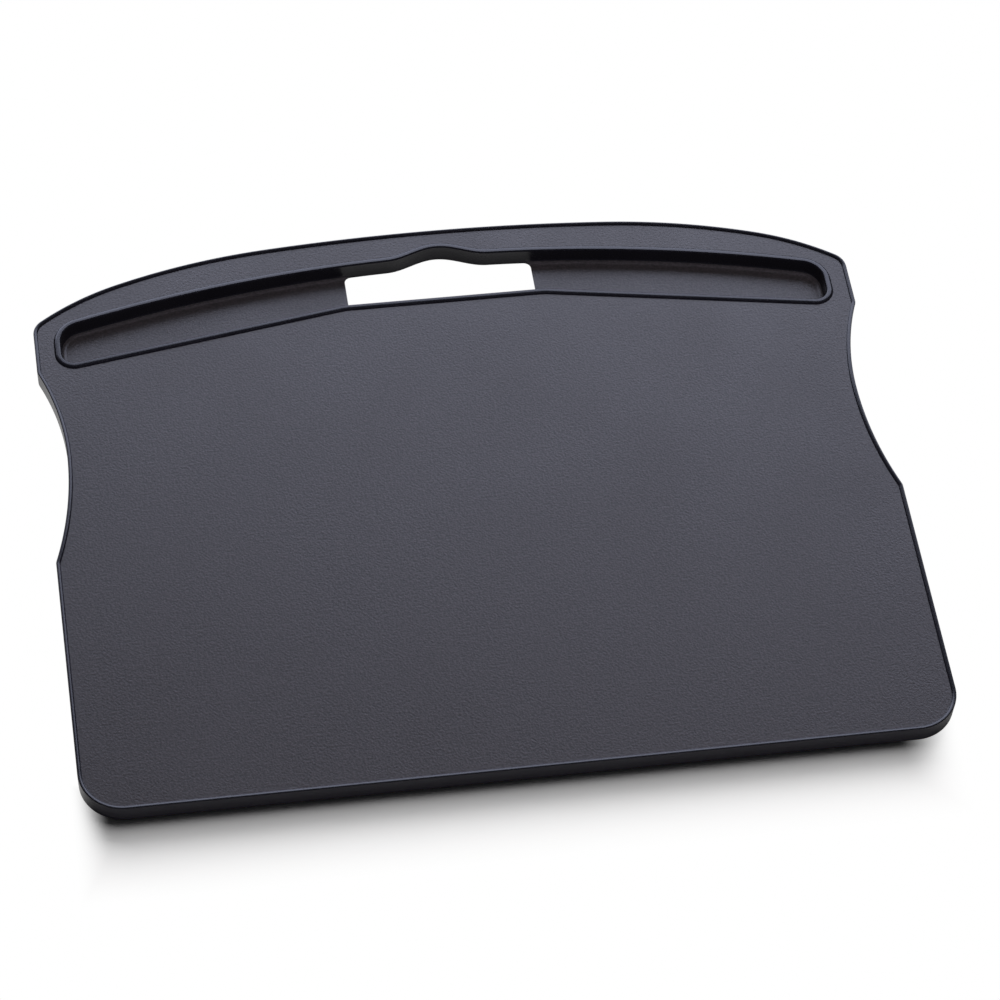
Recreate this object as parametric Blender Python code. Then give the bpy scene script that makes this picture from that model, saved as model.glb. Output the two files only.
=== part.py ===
"""Laptop tray: a moulded top shell with its outer wall, pen trough and carry slot, the
base panel set into it, the screws that join them and the rubber feet that it stands on.

Units are metres, +Z is up and the user's side faces -Y. The origin lies on the
surface that the tray stands on, under the middle of the tray.
"""
import bpy
import bmesh
from math import asin, atan2, cos, pi, sin, sqrt, tan
from mathutils import Vector

# Plan of the tray
tray_width = 0.450
tray_depth = 0.356
front_corner_radius = 0.023
back_corner_radius = 0.011

# Waist drawn in on each side, its three places as shares of the depth from the front
waist_inset = 0.0114
waist_front_share = 0.432
waist_middle_share = 0.624
waist_back_share = 0.785
waist_corner_radius = 0.006

# Arched back edge: three arcs that meet at shares of the half width
crown_radius = 1.180
crown_share = 0.422
shoulder_radius = 0.374
shoulder_share = 0.791
end_radius = 0.154

# Heights, from the standing surface up
foot_stand = 0.0010
trough_floor_thickness = 0.0016
trough_drop = 0.0097
deck_thickness = 0.0022

# Beads round the deck and round the trough: a rounded edge over the wall, a flat crest
# and a quarter-round slope, as wide as the bead is high, down to the deck
bead_height = 0.0010
bead_edge_round = 0.0006
bead_crest_width = 0.0007
trough_bead_round = 0.0009
trough_crest_width = 0.0014

# Outer wall, and the panel set into it
wall_thickness = 0.0024
wall_draft = 0.0003
wall_bottom_round = 0.0010
panel_thickness = 0.0018
clearance = 0.0003

# Pen trough, set out along the top of its wall
trough_end_margin = 0.0140
back_band = 0.0190
trough_back_radius = 0.800
trough_middle_width = 0.0288
trough_end_width = 0.0255
trough_flat_margin = 0.003
trough_kink_radius = 0.040
trough_front_corner = 0.007
trough_back_corner = 0.013
trough_wall_draft = 0.00035
trough_wall_thickness = 0.0022
trough_fillet = 0.0028

# Carry slot with its finger notch
slot_width = 0.1041
slot_corner_radius = 0.004
slot_setback = 0.0002
slot_bottom_round = 0.0013
notch_half_width = 0.028
notch_height = 0.0065

# Ribs inside
rib_thickness = 0.0016
rib_depth = 0.0030
rib_column_shares = (-0.756, -0.378, 0.0, 0.378, 0.756)
rib_row_gaps = 3
rib_end_margin = 0.010
front_row_margin = 0.022
rear_row_margin = 0.020
base_rib_height = 0.0021

# Self-tapping screws and what holds them
screw_diameter = 0.0030
screw_head_diameter = 0.0060
screw_head_sink = 0.0002
screw_head_round = 0.0005
screw_tip_length = 0.0012
screw_tip_clearance = 0.0005
recess_depth = 0.0022
cup_wall = 0.0015
cup_roof = 0.0016
boss_wall = 0.0016
bore_skin = 0.0012
drive_length = 0.0032
drive_width = 0.0009
drive_depth = 0.0010
back_screw_share = 0.533

# Rubber feet in shallow seats
foot_diameter = 0.014
foot_seat_depth = 0.0008
foot_edge_round = 0.0004
front_foot_margin = 0.030
middle_foot_share = 0.47
back_foot_share = 0.66
back_foot_margin = 0.0135

# Cuts run past the faces that they open by this much
overrun = 0.0020

# Finishes, each a linear colour and a roughness
deck_colour, deck_roughness = (0.030, 0.031, 0.036), 0.45
panel_colour, panel_roughness = (0.020, 0.020, 0.024), 0.35
steel_colour, steel_roughness = (0.060, 0.060, 0.065), 0.40
rubber_colour, rubber_roughness = (0.025, 0.025, 0.025), 0.85

# How finely the round shapes are cut into facets
corner_steps = 7
kink_steps = 3
waist_steps = 6
arch_steps = 6
trough_arc_steps = 5
trough_run_steps = 6
notch_steps = 12
small_round_steps = 3
screw_sides = 12
foot_sides = 24

# Ways across a section, whose first number grows inward from the outline
INWARD, OUTWARD, UP, DOWN = (1, 0), (-1, 0), (0, 1), (0, -1)

# Levels and lines that follow from the sizes above
half_width = tray_width / 2
front_y = -tray_depth / 2
back_y = tray_depth / 2
panel_top = foot_stand + panel_thickness
trough_floor = foot_stand + trough_floor_thickness
crest = trough_floor + trough_drop
deck_top = crest - bead_height
deck_underside = deck_top - deck_thickness
bead_width = bead_edge_round + bead_crest_width + bead_height
trough_bead_width = trough_bead_round + trough_crest_width + bead_height
recess_roof = foot_stand + recess_depth
cup_top = recess_roof + cup_roof
boss_bottom = cup_top + clearance
bore_top = deck_top - bore_skin
trough_half_length = half_width - trough_end_margin
trough_back_y = back_y - back_band
trough_front_y = trough_back_y - trough_middle_width
trough_end_drop = trough_back_radius - sqrt(trough_back_radius ** 2 - trough_half_length ** 2)
trough_front_fall = trough_end_drop + trough_end_width - trough_middle_width
slot_half = slot_width / 2
trough_flat_half = slot_half + trough_flat_margin
front_row_y = front_y + front_row_margin


def arc(centre, radius, start, end, steps, outward=1):
    """Stations along an arc: each point with the direction that leads out of the shape."""
    stations = []
    for step in range(steps + 1):
        angle = start + (end - start) * step / steps
        ray = Vector((cos(angle), sin(angle)))
        stations.append((Vector(centre) + ray * radius, ray * outward))
    return stations


def rounded_corner(before, corner, after, radius, steps):
    """Stations of the arc that rounds the corner between two straight runs."""
    into = (corner - before).normalized()
    away = (after - corner).normalized()
    turn = atan2(into.x * away.y - into.y * away.x, into.dot(away))
    side = 1 if turn > 0 else -1
    start = corner - into * radius * tan(abs(turn) / 2)
    left = Vector((-into.y, into.x))
    centre = start + left * radius * side
    first = atan2(start.y - centre.y, start.x - centre.x)
    return arc(centre, radius, first, first + turn, steps, side)


def fillet_under_arch(arch_centre, arch_radius, side_x, radius):
    """Centre and last angle of the fillet between an upright side and an arch over it."""
    centre_x = side_x - radius
    reach = arch_radius - radius
    centre_y = arch_centre[1] + sqrt(reach ** 2 - (centre_x - arch_centre[0]) ** 2)
    angle = atan2(centre_y - arch_centre[1], centre_x - arch_centre[0])
    return (centre_x, centre_y), angle


def closed(right_half):
    """Whole loop from its right half, which runs from the front to the back."""
    left_half = [(Vector((-p.x, p.y)), Vector((-n.x, n.y))) for p, n in reversed(right_half)]
    loop = []
    for point, normal in right_half + left_half:
        if not loop or (point - loop[-1][0]).length > clearance / 10:
            loop.append((point, normal))
    return loop


def tray_outline():
    """Outer edge of the tray."""
    corner = arc((half_width - front_corner_radius, front_y + front_corner_radius),
                 front_corner_radius, -pi / 2, 0, corner_steps)

    waist_y = front_y + waist_middle_share * tray_depth
    halves = []
    for place_share, sense in ((waist_front_share, -1), (waist_back_share, 1)):
        span = abs(place_share - waist_middle_share) * tray_depth
        radius = (span ** 2 + waist_inset ** 2) / (2 * waist_inset)
        run = radius + waist_corner_radius
        rise = sqrt(run ** 2 - (run - waist_inset) ** 2)
        angle = asin(rise / run)
        fillet = (half_width - waist_corner_radius, waist_y + sense * rise)
        bite = (half_width - waist_inset + radius, waist_y)
        halves.append((radius, angle, fillet, bite))
    (front_radius, front_angle, front_fillet, front_bite) = halves[0]
    (back_radius, back_angle, back_fillet, back_bite) = halves[1]
    waist = arc(front_fillet, waist_corner_radius, 0, front_angle, kink_steps)
    waist += arc(front_bite, front_radius, pi + front_angle, pi, waist_steps, -1)
    waist += arc(back_bite, back_radius, pi, pi - back_angle, waist_steps, -1)
    waist += arc(back_fillet, waist_corner_radius, -back_angle, 0, kink_steps)

    crown_end = crown_share * half_width
    shoulder_end = shoulder_share * half_width
    crown_centre = Vector((0, back_y - crown_radius))
    crown_angle = asin(crown_end / crown_radius)
    join = crown_centre + Vector((sin(crown_angle), cos(crown_angle))) * crown_radius
    shoulder_centre = join - Vector((sin(crown_angle), cos(crown_angle))) * shoulder_radius
    shoulder_angle = asin((shoulder_end - shoulder_centre.x) / shoulder_radius)
    lean = Vector((sin(shoulder_angle), cos(shoulder_angle)))
    end_centre = shoulder_centre + lean * (shoulder_radius - end_radius)
    fillet, fillet_angle = fillet_under_arch(end_centre, end_radius, half_width, back_corner_radius)
    back = arc(fillet, back_corner_radius, 0, fillet_angle, trough_arc_steps)
    back += arc(end_centre, end_radius, fillet_angle, pi / 2 - shoulder_angle, arch_steps)
    back += arc(shoulder_centre, shoulder_radius, pi / 2 - shoulder_angle,
                pi / 2 - crown_angle, arch_steps)
    back += arc(crown_centre, crown_radius, pi / 2 - crown_angle, pi / 2, arch_steps)
    return closed(corner + waist + back)


def notch_lift(x):
    """How far the finger notch lifts the trough's back line at x, and how steeply."""
    if abs(x) >= notch_half_width:
        return 0, 0
    phase = pi * x / notch_half_width
    lift = notch_height * (1 + cos(phase)) / 2
    steepness = -notch_height * pi / notch_half_width * sin(phase) / 2
    return lift, steepness


def trough_back_station(x):
    """Point on the trough's back line at x, with its outward direction."""
    lift, steepness = notch_lift(x)
    rise = sqrt(trough_back_radius ** 2 - x ** 2)
    y = trough_back_y - trough_back_radius + rise + lift
    slope = -x / rise + steepness
    return Vector((x, y)), Vector((-slope, 1)).normalized()


def back_run(end_x, side_steps):
    """Stations along the trough's back line from end_x in to the middle."""
    run = []
    for step in range(side_steps):
        run.append(trough_back_station(end_x + (notch_half_width - end_x) * step / side_steps))
    half_steps = notch_steps // 2
    for step in range(half_steps + 1):
        run.append(trough_back_station(notch_half_width * (1 - step / half_steps)))
    return run


def trough_front_at(x):
    """The trough's front line at x."""
    beyond = max(abs(x) - trough_flat_half, 0)
    return trough_front_y - trough_front_fall * beyond / (trough_half_length - trough_flat_half)


def trough_outline():
    """Top of the trough's wall."""
    flat_start = Vector((-trough_flat_half, trough_front_y))
    kink = Vector((trough_flat_half, trough_front_y))
    front_end = Vector((trough_half_length, trough_front_at(trough_half_length)))
    up_the_end = front_end + Vector((0, trough_middle_width))
    right = rounded_corner(flat_start, kink, front_end, trough_kink_radius, kink_steps)
    right += rounded_corner(kink, front_end, up_the_end, trough_front_corner, trough_arc_steps)
    arch_centre = (0, trough_back_y - trough_back_radius)
    fillet, angle = fillet_under_arch(arch_centre, trough_back_radius, trough_half_length,
                                      trough_back_corner)
    right += arc(fillet, trough_back_corner, 0, angle, trough_arc_steps)
    right += back_run(trough_back_radius * cos(angle), trough_run_steps)
    return closed(right)


def slot_outline():
    """Edge of the carry slot, which follows the trough's front and back walls."""
    slot_front = trough_front_y + slot_setback
    low_left = Vector((-slot_half, slot_front))
    low_right = Vector((slot_half, slot_front))
    above = low_right + Vector((0, trough_middle_width))
    right = rounded_corner(low_left, low_right, above, slot_corner_radius, kink_steps)
    arch_centre = (0, trough_back_y - trough_back_radius)
    arch_radius = trough_back_radius - slot_setback
    fillet, angle = fillet_under_arch(arch_centre, arch_radius, slot_half, slot_corner_radius)
    right += arc(fillet, slot_corner_radius, 0, angle, kink_steps)
    for point, normal in back_run(trough_back_radius * cos(angle), kink_steps):
        right.append((point - normal * slot_setback, normal))
    return closed(right)


def rounded_edge(corner, arrive, leave, radius):
    """Section points that round a corner, reached along arrive and left along leave."""
    centre_u = corner[0] + (leave[0] - arrive[0]) * radius
    centre_z = corner[1] + (leave[1] - arrive[1]) * radius
    points = []
    for step in range(small_round_steps + 1):
        angle = pi / 2 * step / small_round_steps
        points.append((centre_u + (arrive[0] * sin(angle) - leave[0] * cos(angle)) * radius,
                       centre_z + (arrive[1] * sin(angle) - leave[1] * cos(angle)) * radius))
    return points


def new_object(name, mesh, material=None):
    """Object for a mesh, linked to the scene."""
    item = bpy.data.objects.new(name, mesh)
    bpy.context.scene.collection.objects.link(item)
    if material:
        mesh.materials.append(material)
    return item


def loft(name, rings_list, material=None):
    """Closed bodies in one mesh, each from rings of points stacked between flat ends."""
    shape = bmesh.new()
    for rings in rings_list:
        rows = [[shape.verts.new(point) for point in ring] for ring in rings]
        for low, high in zip(rows, rows[1:]):
            for index in range(len(low)):
                after = (index + 1) % len(low)
                shape.faces.new((low[index], low[after], high[after], high[index]))
        shape.faces.new(list(reversed(rows[0])))
        shape.faces.new(rows[-1])
    bmesh.ops.recalc_face_normals(shape, faces=shape.faces)
    mesh = bpy.data.meshes.new(name)
    shape.to_mesh(mesh)
    shape.free()
    return new_object(name, mesh, material)


def outline_rings(stations, section):
    """Rings for loft: the outline drawn in by u at height z for each (u, z) of the section."""
    return [[(point.x - normal.x * u, point.y - normal.y * u, z) for point, normal in stations]
            for u, z in section]


def round_rings(place, section, sides):
    """Rings for loft: circles of radius r at height z for each (r, z) of the section."""
    return [[(place[0] + r * cos(2 * pi * side / sides), place[1] + r * sin(2 * pi * side / sides), z)
             for side in range(sides)] for r, z in section]


def box_rings(low, high):
    """Rings for loft: a box between two opposite corners."""
    plan = ((low[0], low[1]), (high[0], low[1]), (high[0], high[1]), (low[0], high[1]))
    return [[(x, y, z) for x, y in plan] for z in (low[2], high[2])]


def carve(target, tool, operation):
    """Apply one exact Boolean to the target and drop the tool."""
    modifier = target.modifiers.new(tool.name, 'BOOLEAN')
    modifier.operation = operation
    modifier.solver = 'EXACT'
    modifier.object = tool
    bpy.context.view_layer.objects.active = target
    bpy.ops.object.modifier_apply(modifier=modifier.name)
    bpy.data.objects.remove(tool)


def smooth_rounds(item):
    """Shade the round faces smooth and keep the real edges sharp."""
    item.data.shade_smooth()
    item.data.set_sharp_from_angle(angle=pi / 6)


def plain_material(name, colour, roughness, metallic=0.0):
    """Principled material of one linear colour."""
    material = bpy.data.materials.new(name)
    material.use_nodes = True
    shader = material.node_tree.nodes['Principled BSDF']
    shader.inputs['Base Color'].default_value = (*colour, 1)
    shader.inputs['Roughness'].default_value = roughness
    shader.inputs['Metallic'].default_value = metallic
    return material


def rib_rows():
    """Lines of the ribs that run from side to side."""
    column = rib_column_shares[-1] * half_width
    rear = trough_front_at(column) - rear_row_margin
    return [front_row_y + (rear - front_row_y) * row / rib_row_gaps
            for row in range(rib_row_gaps + 1)]


def screw_places():
    """Name and place of each screw."""
    outer = rib_column_shares[-1] * half_width
    inner = rib_column_shares[-2] * half_width
    rows = rib_rows()
    back_x = back_screw_share * half_width
    back_screw_y = trough_back_station(back_x)[0].y + back_band / 2
    places = {'screw_front_middle': (0, rows[0]), 'screw_centre': (0, rows[-2])}
    for side, sign in (('left', -1), ('right', 1)):
        places['screw_front_' + side] = (sign * outer, rows[0])
        places['screw_waist_' + side] = (sign * outer, rows[-2])
        places['screw_trough_' + side] = (sign * outer, rows[-1])
        places['screw_handle_' + side] = (sign * inner, rows[-1])
        places['screw_back_' + side] = (sign * back_x, back_screw_y)
    return places


def foot_places():
    """Name and place of each foot."""
    front_x = half_width - front_foot_margin
    back_x = back_foot_share * half_width
    back_foot_y = trough_front_at(back_x) - back_foot_margin
    places = {}
    for side, sign in (('left', -1), ('right', 1)):
        places['foot_front_' + side] = (sign * front_x, front_y + front_foot_margin)
        places['foot_middle_' + side] = (sign * front_x, front_y + middle_foot_share * tray_depth)
        places['foot_back_' + side] = (sign * back_x, back_foot_y)
    return places


def rib_columns():
    """Lines of the ribs that run from front to back."""
    return [share * half_width for share in rib_column_shares]


def rib_boxes(low_z, high_z, column_ends):
    """Ribs between two heights: boxes from side to side, and from the front to column_ends."""
    half = rib_thickness / 2
    reach = half_width - waist_inset - rib_end_margin
    across = [box_rings((-reach, y - half, low_z), (reach, y + half, high_z)) for y in rib_rows()]
    along = [box_rings((x - half, front_y + rib_end_margin, low_z), (x + half, end, high_z))
             for x, end in zip(rib_columns(), column_ends)]
    return across, along


def build_top_shell(material, screws):
    """Deck with its bead, outer wall, ribs, bosses, pen trough and carry slot, in one moulding."""
    section = [(wall_thickness, deck_underside), (wall_thickness, foot_stand)]
    section += rounded_edge((wall_draft, foot_stand), OUTWARD, UP, wall_bottom_round)
    section += rounded_edge((0, crest), UP, INWARD, bead_edge_round)
    section += rounded_edge((bead_width, crest), INWARD, DOWN, bead_height)
    shell = loft('top_shell', [outline_rings(tray_outline(), section)], material)

    trough = trough_outline()
    hidden_level = (deck_top + deck_underside) / 2
    tub_section = [(trough_wall_draft - trough_wall_thickness, foot_stand),
                   (-trough_wall_thickness, hidden_level), (-trough_bead_width, hidden_level)]
    tub_section += rounded_edge((-trough_bead_width, crest), UP, INWARD, bead_height)
    carve(shell, loft('tub', [outline_rings(trough, tub_section)]), 'UNION')

    ends = [trough_front_at(x) - trough_wall_thickness / 2 for x in rib_columns()]
    across, along = rib_boxes(deck_underside - rib_depth, hidden_level, ends)
    carve(shell, loft('ribs_across', across), 'UNION')
    carve(shell, loft('ribs_along', along), 'UNION')

    bore_radius = screw_diameter / 2 + clearance
    boss_section = [(bore_radius + boss_wall, boss_bottom), (bore_radius + boss_wall, bore_top)]
    bosses = [round_rings(place, boss_section, screw_sides) for place in screws.values()]
    carve(shell, loft('bosses', bosses), 'UNION')

    cavity_section = rounded_edge((trough_wall_draft, trough_floor), OUTWARD, UP, trough_fillet)
    cavity_section += rounded_edge((0, crest), UP, OUTWARD, trough_bead_round)
    cavity_section += [(-trough_bead_round, crest + overrun)]
    carve(shell, loft('trough_cavity', [outline_rings(trough, cavity_section)]), 'DIFFERENCE')

    slot_section = [(-slot_bottom_round, foot_stand - overrun)]
    slot_section += rounded_edge((0, foot_stand), INWARD, UP, slot_bottom_round)
    slot_section += [(0, crest + overrun)]
    carve(shell, loft('slot_cut', [outline_rings(slot_outline(), slot_section)]), 'DIFFERENCE')

    bore_section = [(bore_radius, boss_bottom - overrun), (bore_radius, bore_top)]
    bores = [round_rings(place, bore_section, screw_sides) for place in screws.values()]
    carve(shell, loft('bores', bores), 'DIFFERENCE')
    smooth_rounds(shell)


def build_base_panel(material, screws, feet):
    """Flat panel inside the wall and round the trough, with screw cups, ribs and foot seats."""
    edge = wall_thickness + clearance
    section = [(edge, foot_stand), (edge, panel_top)]
    panel = loft('base_panel', [outline_rings(tray_outline(), section)], material)

    sunk = foot_stand + panel_thickness / 2
    recess_radius = screw_head_diameter / 2 + clearance
    cup_section = [(recess_radius + cup_wall, sunk), (recess_radius + cup_wall, cup_top)]
    cups = [round_rings(place, cup_section, screw_sides) for place in screws.values()]
    carve(panel, loft('cups', cups), 'UNION')

    ends = [rib_rows()[-1] + rib_end_margin] * len(rib_columns())
    across, along = rib_boxes(sunk, panel_top + base_rib_height, ends)
    carve(panel, loft('ribs_across', across), 'UNION')
    carve(panel, loft('ribs_along', along), 'UNION')

    below = foot_stand - overrun
    recesses = [round_rings(place, [(recess_radius, below), (recess_radius, recess_roof)],
                            screw_sides) for place in screws.values()]
    carve(panel, loft('recesses', recesses), 'DIFFERENCE')

    hole_radius = screw_diameter / 2 + clearance
    holes = [round_rings(place, [(hole_radius, below), (hole_radius, cup_top + overrun)],
                         screw_sides) for place in screws.values()]
    carve(panel, loft('holes', holes), 'DIFFERENCE')

    seat_radius = foot_diameter / 2 + clearance
    seat_section = [(seat_radius, below), (seat_radius, foot_stand + foot_seat_depth)]
    seats = [round_rings(place, seat_section, foot_sides) for place in feet.values()]
    carve(panel, loft('foot_seats', seats), 'DIFFERENCE')

    opening = -(trough_wall_thickness + clearance)
    opening_section = [(opening, below), (opening, panel_top + overrun)]
    carve(panel, loft('opening', [outline_rings(trough_outline(), opening_section)]), 'DIFFERENCE')
    smooth_rounds(panel)


def build_screws(material, screws):
    """Pan-head self-tapping screws with a cross recess, driven up from below."""
    head_radius = screw_head_diameter / 2
    shank_radius = screw_diameter / 2
    head_low = foot_stand + screw_head_sink
    head_high = recess_roof - clearance
    tip = bore_top - screw_tip_clearance
    section = [(head_radius - screw_head_round, head_low),
               (head_radius, head_low + screw_head_round), (head_radius, head_high),
               (shank_radius, head_high), (shank_radius, tip - screw_tip_length),
               (shank_radius / 2, tip)]
    master = loft('screw_master', [round_rings((0, 0), section, screw_sides)], material)
    drive_top = head_low + drive_depth
    for long_x, long_y in ((drive_length, drive_width), (drive_width, drive_length)):
        low = (-long_x / 2, -long_y / 2, head_low - overrun)
        arm = loft('drive_arm', [box_rings(low, (long_x / 2, long_y / 2, drive_top))])
        carve(master, arm, 'DIFFERENCE')
    smooth_rounds(master)
    for name, place in screws.items():
        screw = new_object(name, master.data)
        screw.location = (place[0], place[1], 0)
    bpy.data.objects.remove(master)


def build_feet(material, feet):
    """Round rubber pads, each in its seat under the base panel."""
    radius = foot_diameter / 2
    top = foot_stand + foot_seat_depth - clearance
    section = [(radius - foot_edge_round, 0), (radius, foot_edge_round), (radius, top)]
    pad = loft('foot_master', [round_rings((0, 0), section, foot_sides)], material)
    smooth_rounds(pad)
    for name, place in feet.items():
        foot = new_object(name, pad.data)
        foot.location = (place[0], place[1], 0)
    bpy.data.objects.remove(pad)


def main():
    for item in list(bpy.data.objects):
        bpy.data.objects.remove(item)
    screws = screw_places()
    feet = foot_places()
    build_top_shell(plain_material('textured_plastic', deck_colour, deck_roughness), screws)
    build_base_panel(plain_material('satin_plastic', panel_colour, panel_roughness), screws, feet)
    build_screws(plain_material('screw_steel', steel_colour, steel_roughness, 1.0), screws)
    build_feet(plain_material('foot_rubber', rubber_colour, rubber_roughness), feet)


main()
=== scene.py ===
"""Laptop tray moulded in black ABS, lying on a white studio floor.

The moulding with its deck, wall and pen trough, the base panel, twelve screws and six
rubber feet are modelled here in finer form than the CAD solids that they stand for.
Lengths are metres, in the CAD's frame.
"""
from math import asin, atan2, cos, pi, radians, sin, sqrt, tan

import bmesh
import bpy
from mathutils import Euler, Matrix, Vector


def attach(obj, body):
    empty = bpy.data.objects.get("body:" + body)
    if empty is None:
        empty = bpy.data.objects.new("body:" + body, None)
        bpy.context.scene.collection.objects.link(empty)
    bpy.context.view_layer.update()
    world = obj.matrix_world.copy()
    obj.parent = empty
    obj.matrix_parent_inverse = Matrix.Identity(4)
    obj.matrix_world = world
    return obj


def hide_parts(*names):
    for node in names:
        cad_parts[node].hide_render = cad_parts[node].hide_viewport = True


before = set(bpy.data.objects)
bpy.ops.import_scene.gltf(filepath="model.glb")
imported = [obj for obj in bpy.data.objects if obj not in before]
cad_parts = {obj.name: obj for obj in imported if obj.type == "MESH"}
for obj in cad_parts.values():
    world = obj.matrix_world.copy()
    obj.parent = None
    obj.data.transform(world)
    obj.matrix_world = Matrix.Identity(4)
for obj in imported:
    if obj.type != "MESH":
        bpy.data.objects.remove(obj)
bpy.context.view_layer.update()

mm = 0.001

# Plan of the tray
tray_width = 450 * mm
tray_depth = 356 * mm
front_corner_radius = 23 * mm
back_corner_radius = 11 * mm
waist_inset = 11.4 * mm
waist_front_share, waist_middle_share, waist_back_share = 0.432, 0.624, 0.785
waist_corner_radius = 6 * mm
crown_radius, crown_share = 1180 * mm, 0.422
shoulder_radius, shoulder_share = 374 * mm, 0.791
end_radius = 154 * mm

# Heights above the floor
underside = 1.0 * mm
trough_floor = 2.6 * mm
panel_top = 2.8 * mm
deck_underside = 9.1 * mm
inside_the_deck = 10.2 * mm
deck_top = 11.3 * mm
crest = 12.3 * mm

# Beads round the deck and round the trough
bead_height = crest - deck_top
bead_edge_round = 0.5 * mm
bead_slope_width = 1.7 * mm
bead_foot_fillet = 0.2 * mm
trough_bead_round = 0.9 * mm
trough_crest_width = 0.7 * mm
trough_slope_width = 1.9 * mm

# Outer wall, and the panel set into it
wall_thickness = 2.4 * mm
wall_draft = 0.3 * mm
wall_bottom_round = 1.0 * mm
panel_edge_round = 0.25 * mm
fit_gap = 0.3 * mm

# Pen trough, set out along the top of its wall
trough_end_margin = 14 * mm
back_band = 19 * mm
trough_back_radius = 800 * mm
trough_middle_width = 28.8 * mm
trough_end_width = 25.5 * mm
trough_flat_margin = 3 * mm
trough_kink_radius = 40 * mm
trough_front_corner = 7 * mm
trough_back_corner = 13 * mm
trough_wall_draft = 0.35 * mm
trough_wall_thickness = 2.2 * mm
trough_fillet = 2.8 * mm

# Carry slot and its finger notch
slot_width = 104.1 * mm
slot_corner_radius = 4 * mm
slot_setback = 0.2 * mm
slot_bottom_round = 1.3 * mm
notch_half_width = 28 * mm
notch_height = 6.5 * mm

# Ribs inside
rib_shares = (-0.756, -0.378, 0.0, 0.378, 0.756)
rib_thickness = 1.6 * mm
rib_end_margin = 10 * mm
deck_rib_depth = 3 * mm
base_rib_height = 2.1 * mm
front_row_margin = 22 * mm
back_row_margin = 20 * mm
rib_row_gaps = 3

# Screws, the cups they sit in and the bosses that they hold
recess_radius = 3.3 * mm
recess_roof = 3.2 * mm
cup_wall = 1.5 * mm
cup_top = 4.8 * mm
screw_hole_radius = 1.8 * mm
boss_radius = 3.4 * mm
boss_bottom, boss_top = 5.1 * mm, 10.1 * mm
bore_top = 10.0 * mm
back_screw_share = 0.533
head_radius, head_round = 3.0 * mm, 0.5 * mm
head_low, head_high = 1.2 * mm, 2.9 * mm
shank_radius = 1.5 * mm
screw_tip, tip_round = 9.6 * mm, 0.7 * mm
drive_half_length, drive_half_width = 1.6 * mm, 0.45 * mm
drive_depth = 1.0 * mm

# Feet in their seats
foot_radius, foot_round = 7.0 * mm, 0.4 * mm
foot_top = 1.5 * mm
seat_radius = 7.3 * mm
seat_roof = 1.8 * mm
front_foot_margin = 30 * mm
middle_foot_share = 0.47
back_foot_share = 0.66
back_foot_margin = 13.5 * mm

# How far a cutter or a joined blank reaches past a face
overrun = 2 * mm
overlap = 0.2 * mm
sliver = 0.01 * mm

# How near two things count as the same: loops and faces at a height, points on a line
loop_tolerance = 0.01 * mm
face_tolerance = 0.05 * mm
point_spacing = 0.03 * mm
doubles_distance = 0.002 * mm

# Lines that follow from the sizes
half_width = tray_width / 2
front_y, back_y = -tray_depth / 2, tray_depth / 2
trough_half_length = half_width - trough_end_margin
trough_back_y = back_y - back_band
trough_front_y = trough_back_y - trough_middle_width
trough_end_drop = trough_back_radius - sqrt(trough_back_radius ** 2 - trough_half_length ** 2)
trough_front_fall = trough_end_drop + trough_end_width - trough_middle_width
slot_half = slot_width / 2
trough_flat_half = slot_half + trough_flat_margin


# Plan lines: lists of (point, outward direction), drawn finely enough to look round

def arc(centre, radius, start, end, steps, outward=1):
    """Stations along an arc."""
    stations = []
    for step in range(steps + 1):
        angle = start + (end - start) * step / steps
        ray = Vector((cos(angle), sin(angle)))
        stations.append((Vector(centre) + ray * radius, ray * outward))
    return stations


def rounded_corner(before, corner, after, radius, steps):
    """Stations of the arc that rounds the corner between two straight runs."""
    into = (corner - before).normalized()
    away = (after - corner).normalized()
    turn = atan2(into.x * away.y - into.y * away.x, into.dot(away))
    side = 1 if turn > 0 else -1
    start = corner - into * radius * tan(abs(turn) / 2)
    centre = start + Vector((-into.y, into.x)) * radius * side
    first = atan2(start.y - centre.y, start.x - centre.x)
    return arc(centre, radius, first, first + turn, steps, side)


def fillet_under_arch(arch_centre, arch_radius, side_x, radius):
    """Centre and last angle of the fillet between an upright side and an arch over it."""
    centre_x = side_x - radius
    reach = arch_radius - radius
    centre_y = arch_centre[1] + sqrt(reach ** 2 - (centre_x - arch_centre[0]) ** 2)
    angle = atan2(centre_y - arch_centre[1], centre_x - arch_centre[0])
    return (centre_x, centre_y), angle


def mirrored_loop(right_half):
    """Whole loop from its right half, which runs from the front to the back."""
    left_half = [(Vector((-p.x, p.y)), Vector((-n.x, n.y))) for p, n in reversed(right_half)]
    loop = []
    for point, normal in right_half + left_half:
        if not loop or (point - loop[-1][0]).length > point_spacing:
            loop.append((point, normal))
    return loop


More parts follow.
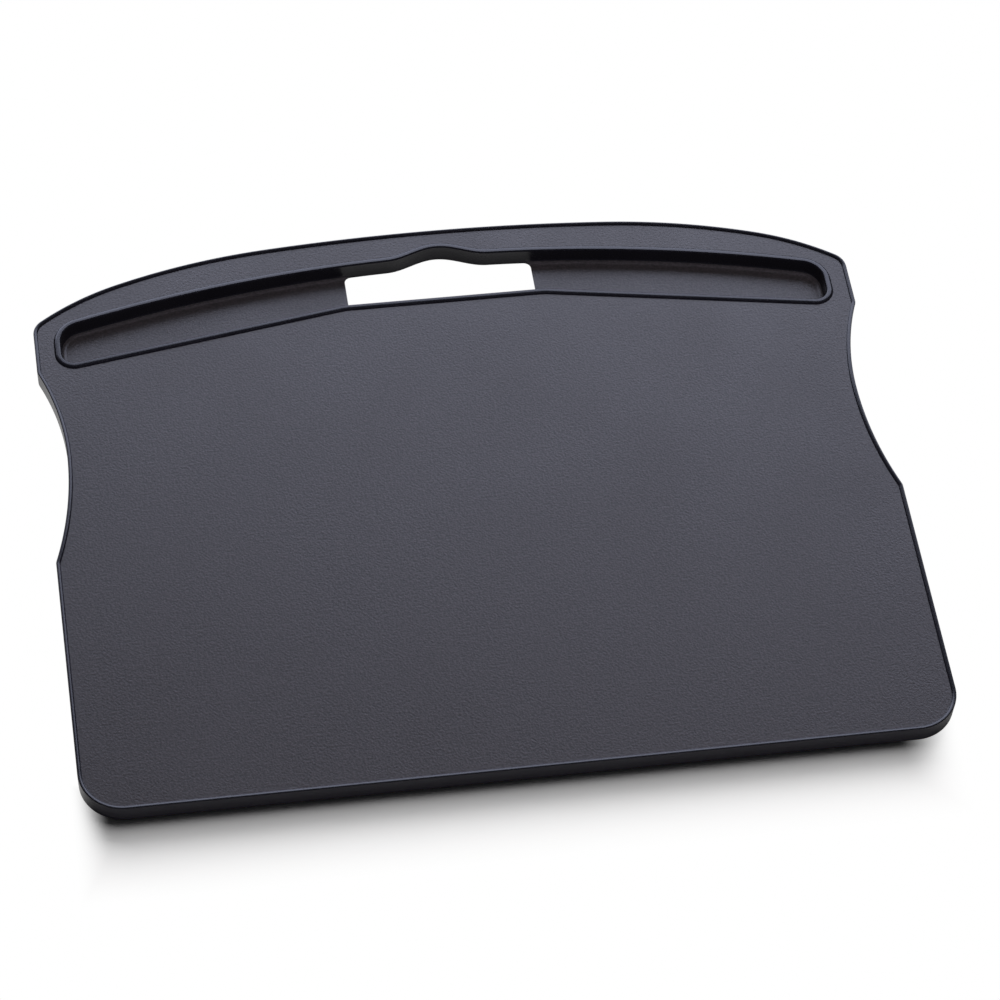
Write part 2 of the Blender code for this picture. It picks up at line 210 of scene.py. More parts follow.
def tray_edge():
    """Outer edge of the tray: straight front, drawn-in waists and an arched back."""
    corner = arc((half_width - front_corner_radius, front_y + front_corner_radius),
                 front_corner_radius, -pi / 2, 0, 24)
    waist_y = front_y + waist_middle_share * tray_depth
    halves = []
    for share, sense in ((waist_front_share, -1), (waist_back_share, 1)):
        span = abs(share - waist_middle_share) * tray_depth
        radius = (span ** 2 + waist_inset ** 2) / (2 * waist_inset)
        run = radius + waist_corner_radius
        rise = sqrt(run ** 2 - (run - waist_inset) ** 2)
        halves.append((radius, asin(rise / run),
                       (half_width - waist_corner_radius, waist_y + sense * rise),
                       (half_width - waist_inset + radius, waist_y)))
    (front_radius, front_angle, front_fillet, front_bite) = halves[0]
    (back_radius, back_angle, back_fillet, back_bite) = halves[1]
    waist = arc(front_fillet, waist_corner_radius, 0, front_angle, 6)
    waist += arc(front_bite, front_radius, pi + front_angle, pi, 16, -1)
    waist += arc(back_bite, back_radius, pi, pi - back_angle, 16, -1)
    waist += arc(back_fillet, waist_corner_radius, -back_angle, 0, 6)

    crown_end, shoulder_end = crown_share * half_width, shoulder_share * half_width
    crown_centre = Vector((0, back_y - crown_radius))
    crown_angle = asin(crown_end / crown_radius)
    lean = Vector((sin(crown_angle), cos(crown_angle)))
    shoulder_centre = crown_centre + lean * (crown_radius - shoulder_radius)
    shoulder_angle = asin((shoulder_end - shoulder_centre.x) / shoulder_radius)
    lean = Vector((sin(shoulder_angle), cos(shoulder_angle)))
    end_centre = shoulder_centre + lean * (shoulder_radius - end_radius)
    fillet, fillet_angle = fillet_under_arch(end_centre, end_radius, half_width, back_corner_radius)
    back = arc(fillet, back_corner_radius, 0, fillet_angle, 12)
    back += arc(end_centre, end_radius, fillet_angle, pi / 2 - shoulder_angle, 14)
    back += arc(shoulder_centre, shoulder_radius, pi / 2 - shoulder_angle, pi / 2 - crown_angle, 16)
    back += arc(crown_centre, crown_radius, pi / 2 - crown_angle, pi / 2, 14)
    return mirrored_loop(corner + waist + back)


def trough_back_station(x):
    """Point on the trough's back line at x, lifted where the finger notch is."""
    lift, steepness = 0, 0
    if abs(x) < notch_half_width:
        phase = pi * x / notch_half_width
        lift = notch_height * (1 + cos(phase)) / 2
        steepness = -notch_height * pi / notch_half_width * sin(phase) / 2
    rise = sqrt(trough_back_radius ** 2 - x ** 2)
    slope = -x / rise + steepness
    return (Vector((x, trough_back_y - trough_back_radius + rise + lift)),
            Vector((-slope, 1)).normalized())


def back_run(end_x, side_steps):
    """Stations along the trough's back line from end_x in to the middle."""
    side = [end_x + (notch_half_width - end_x) * step / side_steps for step in range(side_steps)]
    notch = [notch_half_width * (1 - step / 18) for step in range(19)]
    return [trough_back_station(x) for x in side + notch]


def trough_front_at(x):
    """The trough's front line at x."""
    beyond = max(abs(x) - trough_flat_half, 0)
    return trough_front_y - trough_front_fall * beyond / (trough_half_length - trough_flat_half)


def trough_line():
    """Top of the pen trough's wall."""
    flat_start = Vector((-trough_flat_half, trough_front_y))
    kink = Vector((trough_flat_half, trough_front_y))
    front_end = Vector((trough_half_length, trough_front_at(trough_half_length)))
    right = rounded_corner(flat_start, kink, front_end, trough_kink_radius, 8)
    right += rounded_corner(kink, front_end, front_end + Vector((0, trough_middle_width)),
                            trough_front_corner, 14)
    fillet, angle = fillet_under_arch((0, trough_back_y - trough_back_radius), trough_back_radius,
                                      trough_half_length, trough_back_corner)
    right += arc(fillet, trough_back_corner, 0, angle, 14)
    right += back_run(trough_back_radius * cos(angle), 16)
    return mirrored_loop(right)


def slot_line():
    """Edge of the carry slot, which follows the trough's front and back walls."""
    low_right = Vector((slot_half, trough_front_y + slot_setback))
    low_left = Vector((-slot_half, low_right.y))
    right = rounded_corner(low_left, low_right, low_right + Vector((0, trough_middle_width)),
                           slot_corner_radius, 8)
    arch_radius = trough_back_radius - slot_setback
    fillet, angle = fillet_under_arch((0, trough_back_y - trough_back_radius), arch_radius,
                                      slot_half, slot_corner_radius)
    right += arc(fillet, slot_corner_radius, 0, angle, 8)
    right += [(point - normal * slot_setback, normal)
              for point, normal in back_run(trough_back_radius * cos(angle), 6)]
    return mirrored_loop(right)


# Working on a piece

def take(piece):
    """Select one piece alone and make it the active one."""
    bpy.ops.object.select_all(action='DESELECT')
    piece.select_set(True)
    bpy.context.view_layer.objects.active = piece


def drawn_out(name, edge, profile):
    """Solid with this plan line: a flat blank extruded along the profile's corners, each of
    which is (how far it lies inside the line, its height)."""
    bpy.ops.object.select_all(action='DESELECT')
    bpy.ops.mesh.primitive_circle_add(vertices=len(edge), radius=half_width, fill_type='NGON')
    piece = bpy.context.object
    piece.name = piece.data.name = name
    station = piece.data.attributes.new('station', 'INT', 'POINT')
    for index in range(len(edge)):
        station.data[index].value = index
    bpy.ops.object.mode_set(mode='EDIT')
    bpy.ops.mesh.select_all(action='SELECT')
    for corner, (inside, height) in enumerate(profile):
        if corner:
            bpy.ops.mesh.extrude_region_move()
        shape = bmesh.from_edit_mesh(piece.data)
        stations = shape.verts.layers.int['station']
        for vertex in shape.verts:
            if vertex.select:
                point, normal = edge[vertex[stations]]
                vertex.co = (*(point - normal * inside), height)
        bmesh.update_edit_mesh(piece.data)
    bpy.ops.mesh.select_all(action='SELECT')
    bpy.ops.mesh.normals_make_consistent(inside=False)
    bpy.ops.object.mode_set(mode='OBJECT')
    piece.data.attributes.remove(piece.data.attributes['station'])
    return piece


OUT, IN, UP = (-1, 0), (1, 0), (0, 1)


def eased(corner, arrive, leave, radius, steps=6):
    """Profile points of a quarter round at a corner, reached along arrive, left along leave."""
    centre = [corner[axis] + (leave[axis] - arrive[axis]) * radius for axis in (0, 1)]
    turns = [pi / 2 * step / steps for step in range(steps + 1)]
    return [tuple(centre[axis] + (arrive[axis] * sin(turn) - leave[axis] * cos(turn)) * radius
                  for axis in (0, 1)) for turn in turns]


def bead_slope(start, width):
    """Profile of a bead's slope from its crest down to the deck: (how far past the bead's outer
    edge, height). A quarter of an ellipse with a small fillet at its foot."""
    last = radians(80)
    turns = [last * step / 12 for step in range(13)]
    slope = [(start + width * sin(turn), deck_top + bead_height * cos(turn)) for turn in turns]
    low_x, low_z = slope[-1]
    knee = low_x + width * cos(last) * (low_z - deck_top) / (bead_height * sin(last))
    foot = knee + bead_foot_fillet
    for step in range(1, 5):
        part = step / 4
        slope.append(((1 - part) ** 2 * low_x + 2 * part * (1 - part) * knee + part ** 2 * foot,
                      deck_top + (1 - part) ** 2 * (low_z - deck_top)))
    return slope


def round_off(piece, heights, radius, segments):
    """Bevel the sharp loops that lie at these heights."""
    take(piece)
    bpy.ops.object.mode_set(mode='EDIT')
    bpy.ops.mesh.select_mode(type='EDGE')
    bpy.ops.mesh.select_all(action='DESELECT')
    shape = bmesh.from_edit_mesh(piece.data)
    for edge in shape.edges:
        at_height = any(all(abs(v.co.z - height) < loop_tolerance for v in edge.verts)
                        for height in heights)
        if at_height and len(edge.link_faces) == 2 and edge.calc_face_angle() > radians(40):
            edge.select_set(True)
    bmesh.update_edit_mesh(piece.data)
    bpy.ops.mesh.bevel(offset=radius, segments=segments, affect='EDGES')
    bpy.ops.mesh.select_mode(type='VERT')
    bpy.ops.object.mode_set(mode='OBJECT')


def combine(piece, tool, operation):
    """Join a tool to the piece or cut it out, and drop the tool."""
    take(piece)
    bpy.ops.object.modifier_add(type='BOOLEAN')
    modifier = piece.modifiers[-1]
    modifier.operation = operation
    modifier.solver = 'EXACT'
    modifier.object = tool
    bpy.ops.object.modifier_apply(modifier=modifier.name)
    bpy.data.objects.remove(tool)


def rod(name, place, radius, low, high, sides):
    """Upright round blank between two heights."""
    bpy.ops.object.select_all(action='DESELECT')
    bpy.ops.mesh.primitive_cylinder_add(vertices=sides, radius=radius, depth=high - low,
                                        location=(*place, (low + high) / 2))
    bpy.ops.object.transform_apply(location=True, rotation=True, scale=True)
    piece = bpy.context.object
    piece.name = piece.data.name = name
    return piece


def several(name, pieces):
    """One tool out of several that don't touch."""
    bpy.ops.object.select_all(action='DESELECT')
    for piece in pieces:
        piece.select_set(True)
    bpy.context.view_layer.objects.active = pieces[0]
    bpy.ops.object.join()
    pieces[0].name = name
    return pieces[0]


def finish(piece, smooth_angle=40):
    """Merge stray doubles, smooth the rounds and keep the flats flat."""
    take(piece)
    bpy.ops.object.mode_set(mode='EDIT')
    bpy.ops.mesh.select_all(action='SELECT')
    bpy.ops.mesh.remove_doubles(threshold=doubles_distance)
    bpy.ops.object.mode_set(mode='OBJECT')
    bpy.ops.object.shade_smooth_by_angle(angle=radians(smooth_angle))
    bpy.ops.object.modifier_add(type='WEIGHTED_NORMAL')
    piece.modifiers[-1].keep_sharp = True
    bpy.ops.object.modifier_apply(modifier=piece.modifiers[-1].name)


# Materials

def linear(hex_colour):
    """Linear colour of an sRGB hex value."""
    channels = [int(hex_colour[start:start + 2], 16) / 255 for start in (1, 3, 5)]
    return [c / 12.92 if c <= 0.04045 else ((c + 0.055) / 1.055) ** 2.4 for c in channels] + [1]


def add_node(tree, kind, settings=None, inputs=None, links=None, stops=()):
    """Node with its settings, its input values, what feeds its inputs, and a ramp's stops."""
    node = tree.nodes.new(kind)
    for name, value in (settings or {}).items():
        setattr(node, name, value)
    for name, value in (inputs or {}).items():
        node.inputs[name].default_value = value
    for name, output in (links or {}).items():
        tree.links.new(output, node.inputs[name])
    for index, (position, hex_colour) in enumerate(stops):
        node.color_ramp.elements[index].position = position
        node.color_ramp.elements[index].color = linear(hex_colour)
    return node


def new_material(name):
    """Empty node material and its tree."""
    material = bpy.data.materials.new(name)
    material.use_nodes = True
    material.node_tree.nodes.clear()
    return material, material.node_tree


def grained_abs():
    """Black ABS from a mould with a fine sand grain. The grain breaks the gloss into small
    light and dark specks."""
    material, tree = new_material('ABS_moulded_fine_grain')
    place = add_node(tree, 'ShaderNodeTexCoord').outputs['Object']
    # A sand grain is about 0.3 mm, too fine to show here, so it is drawn at 1.15 mm
    grain = add_node(tree, 'ShaderNodeTexNoise', {'noise_dimensions': '3D'},
                     {'Scale': 1 / (1.15 * mm), 'Detail': 2.0, 'Roughness': 0.5}, {'Vector': place})
    cloud = add_node(tree, 'ShaderNodeTexNoise', {'noise_dimensions': '3D'},
                     {'Scale': 1 / (60 * mm), 'Detail': 3.0, 'Roughness': 0.5}, {'Vector': place})
    tone = add_node(tree, 'ShaderNodeValToRGB', links={'Fac': grain.outputs['Fac']},
                    stops=((0.30, '#2b2a26'), (0.70, '#3f3c38')))
    rough = add_node(tree, 'ShaderNodeMapRange', None,
                     {'From Min': 0.3, 'From Max': 0.7, 'To Min': 0.36, 'To Max': 0.44},
                     {'Value': cloud.outputs['Fac']})
    bump = add_node(tree, 'ShaderNodeBump', None, {'Strength': 1.0, 'Distance': 0.15 * mm},
                    {'Height': grain.outputs['Fac']})
    shader = add_node(tree, 'ShaderNodeBsdfPrincipled', None, {'IOR': 1.53},
                      {'Base Color': tone.outputs['Color'], 'Roughness': rough.outputs['Result'],
                       'Normal': bump.outputs['Normal']})
    add_node(tree, 'ShaderNodeOutputMaterial', links={'Surface': shader.outputs['BSDF']})
    return material


def satin_abs():
    """Black ABS from a polished part of the mould, slightly hazed by use: beads and inner walls
    with a satin gloss, dark where they mirror the dark room and light where they mirror a lamp."""
    material, tree = new_material('ABS_moulded_satin')
    place = add_node(tree, 'ShaderNodeTexCoord').outputs['Object']
    # The haze of a polished mould is about 0.1 mm, and is drawn at 0.7 mm to show at all
    haze = add_node(tree, 'ShaderNodeTexNoise', {'noise_dimensions': '3D'},
                    {'Scale': 1 / (0.7 * mm), 'Detail': 2.0}, {'Vector': place})
    cloud = add_node(tree, 'ShaderNodeTexNoise', {'noise_dimensions': '3D'},
                     {'Scale': 1 / (35 * mm), 'Detail': 3.0}, {'Vector': place})
    tone = add_node(tree, 'ShaderNodeValToRGB', links={'Fac': cloud.outputs['Fac']},
                    stops=((0.30, '#151517'), (0.70, '#1b1b1d')))
    rough = add_node(tree, 'ShaderNodeMapRange', None,
                     {'From Min': 0.3, 'From Max': 0.7, 'To Min': 0.22, 'To Max': 0.28},
                     {'Value': haze.outputs['Fac']})
    bump = add_node(tree, 'ShaderNodeBump', None, {'Strength': 1.0, 'Distance': 0.003 * mm},
                    {'Height': haze.outputs['Fac']})
    shader = add_node(tree, 'ShaderNodeBsdfPrincipled', None, {'IOR': 1.50},
                      {'Base Color': tone.outputs['Color'], 'Roughness': rough.outputs['Result'],
                       'Normal': bump.outputs['Normal']})
    add_node(tree, 'ShaderNodeOutputMaterial', links={'Surface': shader.outputs['BSDF']})
    return material


def blasted_abs():
    """Black ABS from a matt blasted part of the mould: the outer wall, which takes a soft dim
    reflection of the floor."""
    material, tree = new_material('ABS_moulded_blasted')
    place = add_node(tree, 'ShaderNodeTexCoord').outputs['Object']
    # Fine blasting leaves pits of about 0.1 mm, and they are drawn at 0.9 mm to show at all
    pits = add_node(tree, 'ShaderNodeTexNoise', {'noise_dimensions': '3D'},
                    {'Scale': 1 / (0.9 * mm), 'Detail': 2.0}, {'Vector': place})
    tone = add_node(tree, 'ShaderNodeValToRGB', links={'Fac': pits.outputs['Fac']},
                    stops=((0.30, '#29282a'), (0.70, '#313033')))
    rough = add_node(tree, 'ShaderNodeMapRange', None,
                     {'From Min': 0.3, 'From Max': 0.7, 'To Min': 0.38, 'To Max': 0.46},
                     {'Value': pits.outputs['Fac']})
    bump = add_node(tree, 'ShaderNodeBump', None, {'Strength': 1.0, 'Distance': 0.02 * mm},
                    {'Height': pits.outputs['Fac']})
    shader = add_node(tree, 'ShaderNodeBsdfPrincipled', None, {'IOR': 1.53},
                      {'Base Color': tone.outputs['Color'], 'Roughness': rough.outputs['Result'],
                       'Normal': bump.outputs['Normal']})
    add_node(tree, 'ShaderNodeOutputMaterial', links={'Surface': shader.outputs['BSDF']})
    return material


def blackened_steel():
    """Carbon steel, cold headed and black zinc plated: dull metal with a faint mottle."""
    material, tree = new_material('steel_black_zinc_plated')
    place = add_node(tree, 'ShaderNodeTexCoord').outputs['Object']
    mottle = add_node(tree, 'ShaderNodeTexNoise', {'noise_dimensions': '3D'},
                      {'Scale': 1 / (0.5 * mm), 'Detail': 3.0}, {'Vector': place})
    tone = add_node(tree, 'ShaderNodeValToRGB', links={'Fac': mottle.outputs['Fac']},
                    stops=((0.35, '#6d6d70'), (0.65, '#88888c')))
    rough = add_node(tree, 'ShaderNodeMapRange', None,
                     {'From Min': 0.3, 'From Max': 0.7, 'To Min': 0.30, 'To Max': 0.45},
                     {'Value': mottle.outputs['Fac']})
    shader = add_node(tree, 'ShaderNodeBsdfPrincipled', None, {'Metallic': 1.0},
                      {'Base Color': tone.outputs['Color'], 'Roughness': rough.outputs['Result']})
    add_node(tree, 'ShaderNodeOutputMaterial', links={'Surface': shader.outputs['BSDF']})
    return material


def foot_rubber():
    """Black EPDM rubber, compression moulded: matt, with a fine dusty grain."""
    material, tree = new_material('EPDM_rubber_moulded')
    place = add_node(tree, 'ShaderNodeTexCoord').outputs['Object']
    # The grain of moulded rubber is under 0.1 mm, and is drawn at 0.6 mm to show at all
    grain = add_node(tree, 'ShaderNodeTexNoise', {'noise_dimensions': '3D'},
                     {'Scale': 1 / (0.6 * mm), 'Detail': 4.0}, {'Vector': place})
    tone = add_node(tree, 'ShaderNodeValToRGB', links={'Fac': grain.outputs['Fac']},
                    stops=((0.30, '#1f1f1f'), (0.75, '#2d2d2e')))
    bump = add_node(tree, 'ShaderNodeBump', None, {'Strength': 1.0, 'Distance': 0.04 * mm},
                    {'Height': grain.outputs['Fac']})
    shader = add_node(tree, 'ShaderNodeBsdfPrincipled', None, {'IOR': 1.5, 'Roughness': 0.8},
                      {'Base Color': tone.outputs['Color'], 'Normal': bump.outputs['Normal']})
    add_node(tree, 'ShaderNodeOutputMaterial', links={'Surface': shader.outputs['BSDF']})
    return material


# The floor's exposure for the camera and in reflections, with the lamps' cool tint taken out
floor_exposure, mirrored_exposure = 2.2, 1.3
warm_tint = (1.07, 1.0, 0.774)


def studio_floor_paint():
    """Matt white paint, over-exposed to white as on a white sweep, apart from the tray's shadow
    on the floor in front of it. The wall of the left waist mirrors the white sweep too."""
    material, tree = new_material('studio_floor_white')
    place = add_node(tree, 'ShaderNodeTexCoord').outputs['Object']
    apart = add_node(tree, 'ShaderNodeSeparateXYZ', links={'Vector': place})
    # Each of these rises smoothly from 0 to 1 across the floor between two lines
    behind, before, right, left, beside = [
        add_node(tree, 'ShaderNodeMapRange', {'interpolation_type': 'SMOOTHSTEP'},
                 {'From Min': start, 'From Max': end}, {'Value': apart.outputs[axis]}).outputs['Result']
        for axis, start, end in (('Y', front_y + 6 * mm, front_y + 26 * mm),
                                 ('Y', front_y - 16 * mm, front_y - 48 * mm),
                                 ('X', half_width - 33 * mm, half_width),
                                 ('X', -half_width + 14 * mm, -half_width - 5 * mm),
                                 ('X', -half_width + 30 * mm, -half_width + 20 * mm))]
    path = add_node(tree, 'ShaderNodeLightPath').outputs
    sweep = behind
    for side in (before, right, left):
        sweep = add_node(tree, 'ShaderNodeMath', {'operation': 'MAXIMUM'}, None,
                         {0: sweep, 1: side}).outputs[0]
    seen = add_node(tree, 'ShaderNodeMath', {'operation': 'MULTIPLY'}, None,
                    {0: sweep, 1: path['Is Camera Ray']})
    left_floor = add_node(tree, 'ShaderNodeMath', {'operation': 'MULTIPLY'}, None,
                          {0: beside, 1: behind})
    mirrored = add_node(tree, 'ShaderNodeMath', {'operation': 'MULTIPLY'}, None,
                        {0: left_floor.outputs[0], 1: path['Is Glossy Ray']})
    whitened = add_node(tree, 'ShaderNodeMath', {'operation': 'MAXIMUM'}, None,
                        {0: seen.outputs[0], 1: mirrored.outputs[0]})

    camera_paint, mirrored_paint = [(*(exposure * share for share in warm_tint), 1)
                                    for exposure in (floor_exposure, mirrored_exposure)]
    in_mirrors = add_node(tree, 'ShaderNodeMix', {'data_type': 'RGBA'},
                          {'A': (0.8, 0.8, 0.8, 1), 'B': mirrored_paint},
                          {'Factor': path['Is Glossy Ray']})
    colour = add_node(tree, 'ShaderNodeMix', {'data_type': 'RGBA'}, {'B': camera_paint},
                      {'A': in_mirrors.outputs['Result'], 'Factor': path['Is Camera Ray']})
    paint = add_node(tree, 'ShaderNodeBsdfDiffuse', links={'Color': colour.outputs['Result']})
    white = add_node(tree, 'ShaderNodeEmission', None, {'Color': (1, 1, 1, 1), 'Strength': 1.0})
    mix = add_node(tree, 'ShaderNodeMixShader', None, None,
                   {'Fac': whitened.outputs[0], 1: paint.outputs['BSDF'],
                    2: white.outputs['Emission']})
    add_node(tree, 'ShaderNodeOutputMaterial', links={'Surface': mix.outputs['Shader']})
    return material


# The tray's pieces as they are made, and the mould's three finishes in the order of their slots

tray_pieces = []
moulded_abs = (satin_abs(), grained_abs(), blasted_abs())
SATIN, GRAINED, BLASTED = range(3)


def moulded_finishes(piece, finish_of):
    """The mould's three finishes, each on the faces that the test gives it."""
    if not piece.data.materials:
        for material in moulded_abs:
            piece.data.materials.append(material)
    for face in piece.data.polygons:
        face.material_index = finish_of(face)


def hand_in(piece, node):
    """Add a finished piece to the tray's pieces and the root body, and hide the CAD node it stands for.
    """
    tray_pieces.append(piece)
    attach(piece, 'root')
    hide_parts(node)


# Places of the screws, feet and ribs, as in the CAD

rib_columns = [share * half_width for share in rib_shares]
first_row = front_y + front_row_margin
last_row = trough_front_at(rib_columns[-1]) - back_row_margin
rib_rows = [first_row + (last_row - first_row) * row / rib_row_gaps
            for row in range(rib_row_gaps + 1)]

back_screw_x = back_screw_share * half_width
back_screw_y = trough_back_station(back_screw_x)[0].y + back_band / 2
screws = {'screw_front_middle': (0, rib_rows[0]), 'screw_centre': (0, rib_rows[-2])}
foot_x = half_width - front_foot_margin
back_foot_x = back_foot_share * half_width
back_foot_y = trough_front_at(back_foot_x) - back_foot_margin
feet = {}
for side, sign in (('left', -1), ('right', 1)):
    screws['screw_front_' + side] = (sign * rib_columns[-1], rib_rows[0])
    screws['screw_waist_' + side] = (sign * rib_columns[-1], rib_rows[-2])
    screws['screw_trough_' + side] = (sign * rib_columns[-1], rib_rows[-1])
    screws['screw_handle_' + side] = (sign * rib_columns[-2], rib_rows[-1])
    screws['screw_back_' + side] = (sign * back_screw_x, back_screw_y)
    feet['foot_front_' + side] = (sign * foot_x, front_y + front_foot_margin)
    feet['foot_middle_' + side] = (sign * foot_x, front_y + middle_foot_share * tray_depth)
    feet['foot_back_' + side] = (sign * back_foot_x, back_foot_y)


def rib(name, low, high):
    """Flat bar between two opposite corners."""
    bpy.ops.object.select_all(action='DESELECT')
    middle = [(a + b) / 2 for a, b in zip(low, high)]
    bpy.ops.mesh.primitive_cube_add(size=1, location=middle,
                                    scale=[b - a for a, b in zip(low, high)])
    bpy.ops.object.transform_apply(location=True, rotation=True, scale=True)
    piece = bpy.context.object
    piece.name = name
    return piece


def rib_grid(low, high, column_ends):
    """Bars from side to side, and bars from the front to column_ends."""
    half = rib_thickness / 2
    reach = half_width - waist_inset - rib_end_margin
    start = front_y + rib_end_margin
    across = several('ribs_across', [rib('rib', (-reach, y - half, low), (reach, y + half, high))
                                     for y in rib_rows])
    along = several('ribs_along', [rib('rib', (x - half, start, low), (x + half, end, high))
                                   for x, end in zip(rib_columns, column_ends)])
    return across, along


def blank_finish(face):
    """Finish of a face of the deck's blank: its outer wall is blasted."""
    upright = abs(face.normal.z) < 0.9
    outward = face.center.xy.dot(face.normal.xy) > 0
    under_the_round = face.center.z < crest - bead_edge_round
    return BLASTED if upright and outward and under_the_round else SATIN


def deck_finish(face):
    """Finish of a face of the finished deck: the deck is grained, and so is the trough's floor
    with the lower part of the fillet round it."""
    level, lean = face.center.z, face.normal.z
    on_deck = lean > 0.999 and abs(level - deck_top) < face_tolerance
    in_trough = lean > 0.3 and abs(level - trough_floor) < 0.6 * trough_fillet
    return GRAINED if on_deck or in_trough else face.material_index


def base_finish(face):
    """Finish of a face of the base panel: its underside is grained."""
    below = face.normal.z < -0.999 and face.center.z < underside + face_tolerance
    return GRAINED if below else SATIN


def make_deck_moulding():
    """Deck with its raised bead and outer wall, pen trough and carry slot, in one moulding."""
    profile = [(wall_thickness, deck_underside), (wall_thickness, underside)]
    profile += eased((wall_draft, underside), OUT, UP, wall_bottom_round)
    profile += eased((0, crest), UP, IN, bead_edge_round)
    profile += bead_slope(bead_edge_round, bead_slope_width)[1:]
    deck = drawn_out('deck_moulding', tray_edge(), profile)
    moulded_finishes(deck, blank_finish)

    line = trough_line()
    slope = [(-past, height) for past, height in
             reversed(bead_slope(trough_bead_round + trough_crest_width, trough_slope_width))]
    slope_foot = slope[0][0]
    tub = drawn_out('tub', line, [
        (trough_wall_draft - trough_wall_thickness, underside),
        (-trough_wall_thickness, inside_the_deck), (slope_foot, inside_the_deck),
        (slope_foot, deck_top - sliver)] + slope[1:])
    combine(deck, tub, 'UNION')

    column_ends = [trough_front_at(x) - trough_wall_thickness / 2 for x in rib_columns]
    across, along = rib_grid(deck_underside - deck_rib_depth, inside_the_deck, column_ends)
    combine(deck, across, 'UNION')
    combine(deck, along, 'UNION')
    bosses = [rod('boss', place, boss_radius, boss_bottom, boss_top, 32)
              for place in screws.values()]
    combine(deck, several('bosses', bosses), 'UNION')

    cavity = eased((trough_wall_draft, trough_floor), OUT, UP, trough_fillet)
    cavity += eased((0, crest), UP, OUT, trough_bead_round, 10)
    cavity += [(-trough_bead_round, crest + overrun)]
    combine(deck, drawn_out('trough_cavity', line, cavity), 'DIFFERENCE')
    through = [(-slot_bottom_round, underside - overrun)]
    through += eased((0, underside), IN, UP, slot_bottom_round)
    through += [(0, crest + overrun)]
    combine(deck, drawn_out('slot_cut', slot_line(), through), 'DIFFERENCE')
    bores = [rod('bore', place, screw_hole_radius, boss_bottom - overrun, bore_top, 24)
             for place in screws.values()]
    combine(deck, several('bores', bores), 'DIFFERENCE')
    finish(deck)
    moulded_finishes(deck, deck_finish)
    hand_in(deck, 'top_shell')


def make_base_moulding():
    """Base panel: flat, set inside the wall and round the trough, with cups and foot seats."""
    edge = wall_thickness + fit_gap
    base = drawn_out('base_moulding', tray_edge(), [(edge, underside), (edge, panel_top)])
    round_off(base, [underside, panel_top], panel_edge_round, 3)
    inside_the_panel = (underside + panel_top) / 2
    cups = [rod('cup', place, recess_radius + cup_wall, inside_the_panel, cup_top, 40)
            for place in screws.values()]
    combine(base, several('cups', cups), 'UNION')
    column_ends = [rib_rows[-1] + rib_end_margin] * len(rib_columns)
    across, along = rib_grid(inside_the_panel, panel_top + base_rib_height, column_ends)
    combine(base, across, 'UNION')
    combine(base, along, 'UNION')

    below = underside - overrun
    recesses = [rod('recess', place, recess_radius, below, recess_roof, 40)
                for place in screws.values()]
    combine(base, several('recesses', recesses), 'DIFFERENCE')
    holes = [rod('hole', place, screw_hole_radius, below, cup_top + overrun, 24)
             for place in screws.values()]
    combine(base, several('holes', holes), 'DIFFERENCE')
    seats = [rod('seat', place, seat_radius, below, seat_roof, 48) for place in feet.values()]
    combine(base, several('foot_seats', seats), 'DIFFERENCE')
    opening = -(trough_wall_thickness + fit_gap)
    through = [(opening, below), (opening, panel_top + overrun)]
    combine(base, drawn_out('opening', trough_line(), through), 'DIFFERENCE')
    finish(base)
    moulded_finishes(base, base_finish)
    hand_in(base, 'base_panel')


def set_in_place(master, material, places, kind, made_as):
    """A copy of the master at each place, each with its own mesh, named after its node."""
    master.data.materials.clear()
    master.data.materials.append(material)
    for node, (x, y) in places.items():
        piece = master.copy()
        piece.data = master.data.copy()
        piece.name = piece.data.name = node.replace(kind, made_as)
        bpy.context.scene.collection.objects.link(piece)
        for vertex in piece.data.vertices:
            vertex.co += Vector((x, y, 0))
        hand_in(piece, node)
    bpy.data.objects.remove(master)


def make_screws():
    """Pan-head screws with a cross recess, driven up from below."""
    screw = rod('screw_master', (0, 0), head_radius, head_low, head_high, 40)
    round_off(screw, [head_low], head_round, 4)
    shank = rod('shank', (0, 0), shank_radius, head_high - overlap, screw_tip, 24)
    combine(screw, shank, 'UNION')
    round_off(screw, [screw_tip], tip_round, 2)
    for long_x, long_y in ((drive_half_length, drive_half_width),
                           (drive_half_width, drive_half_length)):
        drive = rib('drive', (-long_x, -long_y, head_low - overrun),
                    (long_x, long_y, head_low + drive_depth))
        combine(screw, drive, 'DIFFERENCE')
    finish(screw, 35)
    set_in_place(screw, blackened_steel(), screws, 'screw', 'pan_head_screw')


def make_feet():
    """Round rubber pads in their seats."""
    pad = rod('pad_master', (0, 0), foot_radius, 0, foot_top, 64)
    round_off(pad, [0], foot_round, 4)
    finish(pad, 35)
    set_in_place(pad, foot_rubber(), feet, 'foot', 'rubber_pad')


def make_floor():
    """Wide white floor."""
    bpy.ops.object.select_all(action='DESELECT')
    bpy.ops.mesh.primitive_plane_add(size=12, location=(0, 0, 0))
    floor = bpy.context.object
    floor.name = 'studio_floor'
    floor.data.materials.append(studio_floor_paint())
    return floor


def softbox(name, place, aim, width, height, power, colour):
    """Rectangular area light at a place, turned towards its aim."""
    data = bpy.data.lights.new(name, 'AREA')
    data.shape = 'RECTANGLE'
    data.size, data.size_y = width, height
    data.energy = power
    data.color = colour
    lamp = bpy.data.objects.new(name, data)
    bpy.context.scene.collection.objects.link(lamp)
    lamp.location = place
    lamp.rotation_euler = (Vector(aim) - Vector(place)).to_track_quat('-Z', 'Y').to_euler()
    return lamp


def light_only(lamp, name, things):
    """Let a lamp light these things alone, and keep it out of reflections."""
    lamp.visible_glossy = False
    lit = bpy.data.collections.new(name)
    for thing in things:
        lit.objects.link(thing)
    lamp.light_linking.receiver_collection = lit


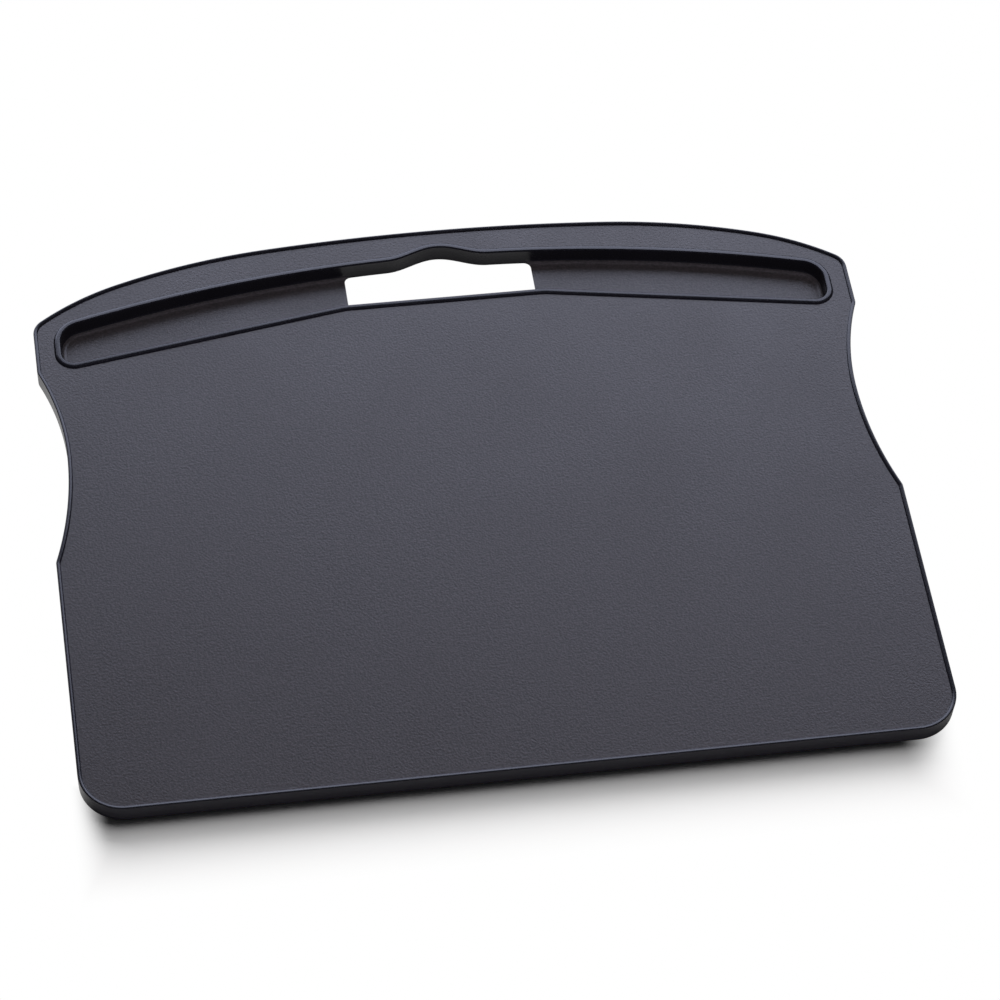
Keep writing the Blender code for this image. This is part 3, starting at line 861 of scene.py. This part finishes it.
def make_lights(floor):
    """A large cool softbox behind the tray, a soft one over the floor, and soft lights above and
    in front that give the plastic its own colour. Places and sizes are in metres."""
    cool, lilac = (0.73, 0.774, 1.0), (0.84, 0.77, 1.0)
    rear = softbox('rear_softbox', (0.12, 1.36, 0.82), (0, 0, 0), 2.4, 1.23, 31.1, cool)
    rear.rotation_euler.rotate_axis('Z', radians(-12))
    high = softbox('high_softbox', (0.15, 0.40, 1.40), (0, 0, 0), 1.0, 0.9, 5.9, cool)
    top = softbox('top_light', (0.25, -0.35, 1.5), (0.1, -0.1, 0), 0.9, 0.8, 10.4, lilac)
    front = softbox('front_light', (-0.15, -0.95, 1.3), (0, -0.1, 0), 0.9, 0.8, 6.6, lilac)
    light_only(high, 'lit_floor', [floor])
    light_only(top, 'lit_from_above', tray_pieces)
    light_only(front, 'lit_from_the_front', tray_pieces)


def make_room():
    """Dark room round the tray, which the camera sees as a white sweep."""
    world = bpy.data.worlds.new('dark_room')
    bpy.context.scene.world = world
    world.use_nodes = True
    tree = world.node_tree
    tree.nodes.clear()
    path = add_node(tree, 'ShaderNodeLightPath')
    room = add_node(tree, 'ShaderNodeBackground', None,
                    {'Color': (0.62, 0.70, 1.0, 1), 'Strength': 0.01})
    sweep = add_node(tree, 'ShaderNodeBackground', None, {'Color': (1, 1, 1, 1), 'Strength': 1.0})
    mix = add_node(tree, 'ShaderNodeMixShader', None, None,
                   {'Fac': path.outputs['Is Camera Ray'], 1: room.outputs['Background'],
                    2: sweep.outputs['Background']})
    add_node(tree, 'ShaderNodeOutputWorld', links={'Surface': mix.outputs['Shader']})


def make_camera():
    """Camera where the photograph was taken from: 2.06 m away and 53 degrees above the floor."""
    data = bpy.data.cameras.new('camera')
    data.lens = 140.4
    data.sensor_width = 36
    data.clip_start = 0.05
    data.clip_end = 50
    camera = bpy.data.objects.new('camera', data)
    bpy.context.scene.collection.objects.link(camera)
    camera.location = (-0.246044, -1.208581, 1.666151)
    turn = [radians(degrees) for degrees in (36.44272, -2.67181, -8.44714)]
    camera.rotation_euler = Euler(turn, 'XYZ')
    bpy.context.scene.camera = camera


make_camera()
make_deck_moulding()
make_base_moulding()
make_screws()
make_feet()
make_lights(make_floor())
make_room()
bpy.context.scene.view_settings.view_transform = 'Standard'
